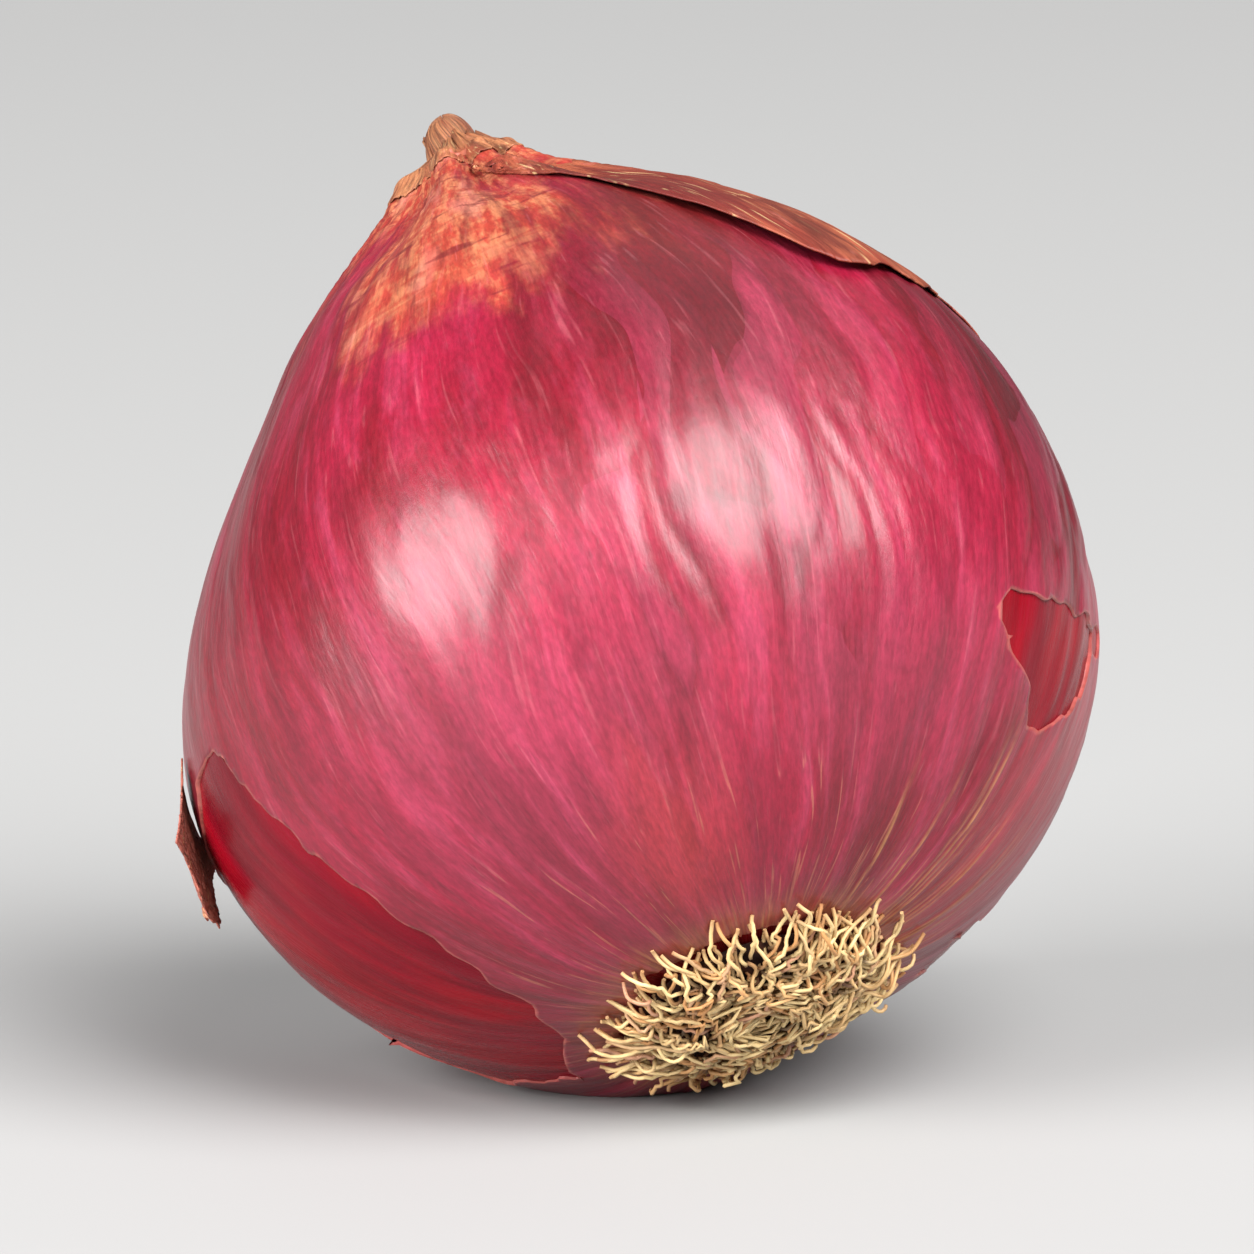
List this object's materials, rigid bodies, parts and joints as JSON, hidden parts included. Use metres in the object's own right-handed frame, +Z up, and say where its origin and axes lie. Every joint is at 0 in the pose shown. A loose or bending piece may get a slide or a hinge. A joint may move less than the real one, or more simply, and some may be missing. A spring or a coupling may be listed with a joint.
{
  "type": "red onion",
  "caption": "Round red onion lying tipped back, its root end forward: glossy crimson dry skin, a withered pointed neck, a mat of dried roots and loose scraps of papery skin.",
  "frame": {"origin": "middle of the small flat spot on the underside that the onion lies on", "axes": "+Z straight up from the surface; -Y is the front, towards which the root end is tipped down, 28 degrees to the right of straight ahead, so the neck points up, back and to the left"},
  "size_m": [0.0693, 0.0688, 0.0724],
  "materials": {
    "dry_skin": "satin",
    "dried_roots": "matte",
    "withered_leaf": "matte",
    "loose_paper": "matte"
  },
  "bodies": {
    "root": {"bulb": "dry_skin", "root_tuft": "dried_roots", "neck_leaves": "withered_leaf", "shoulder_paper": "loose_paper", "side_paper": "loose_paper"}
  },
  "joints": []
}
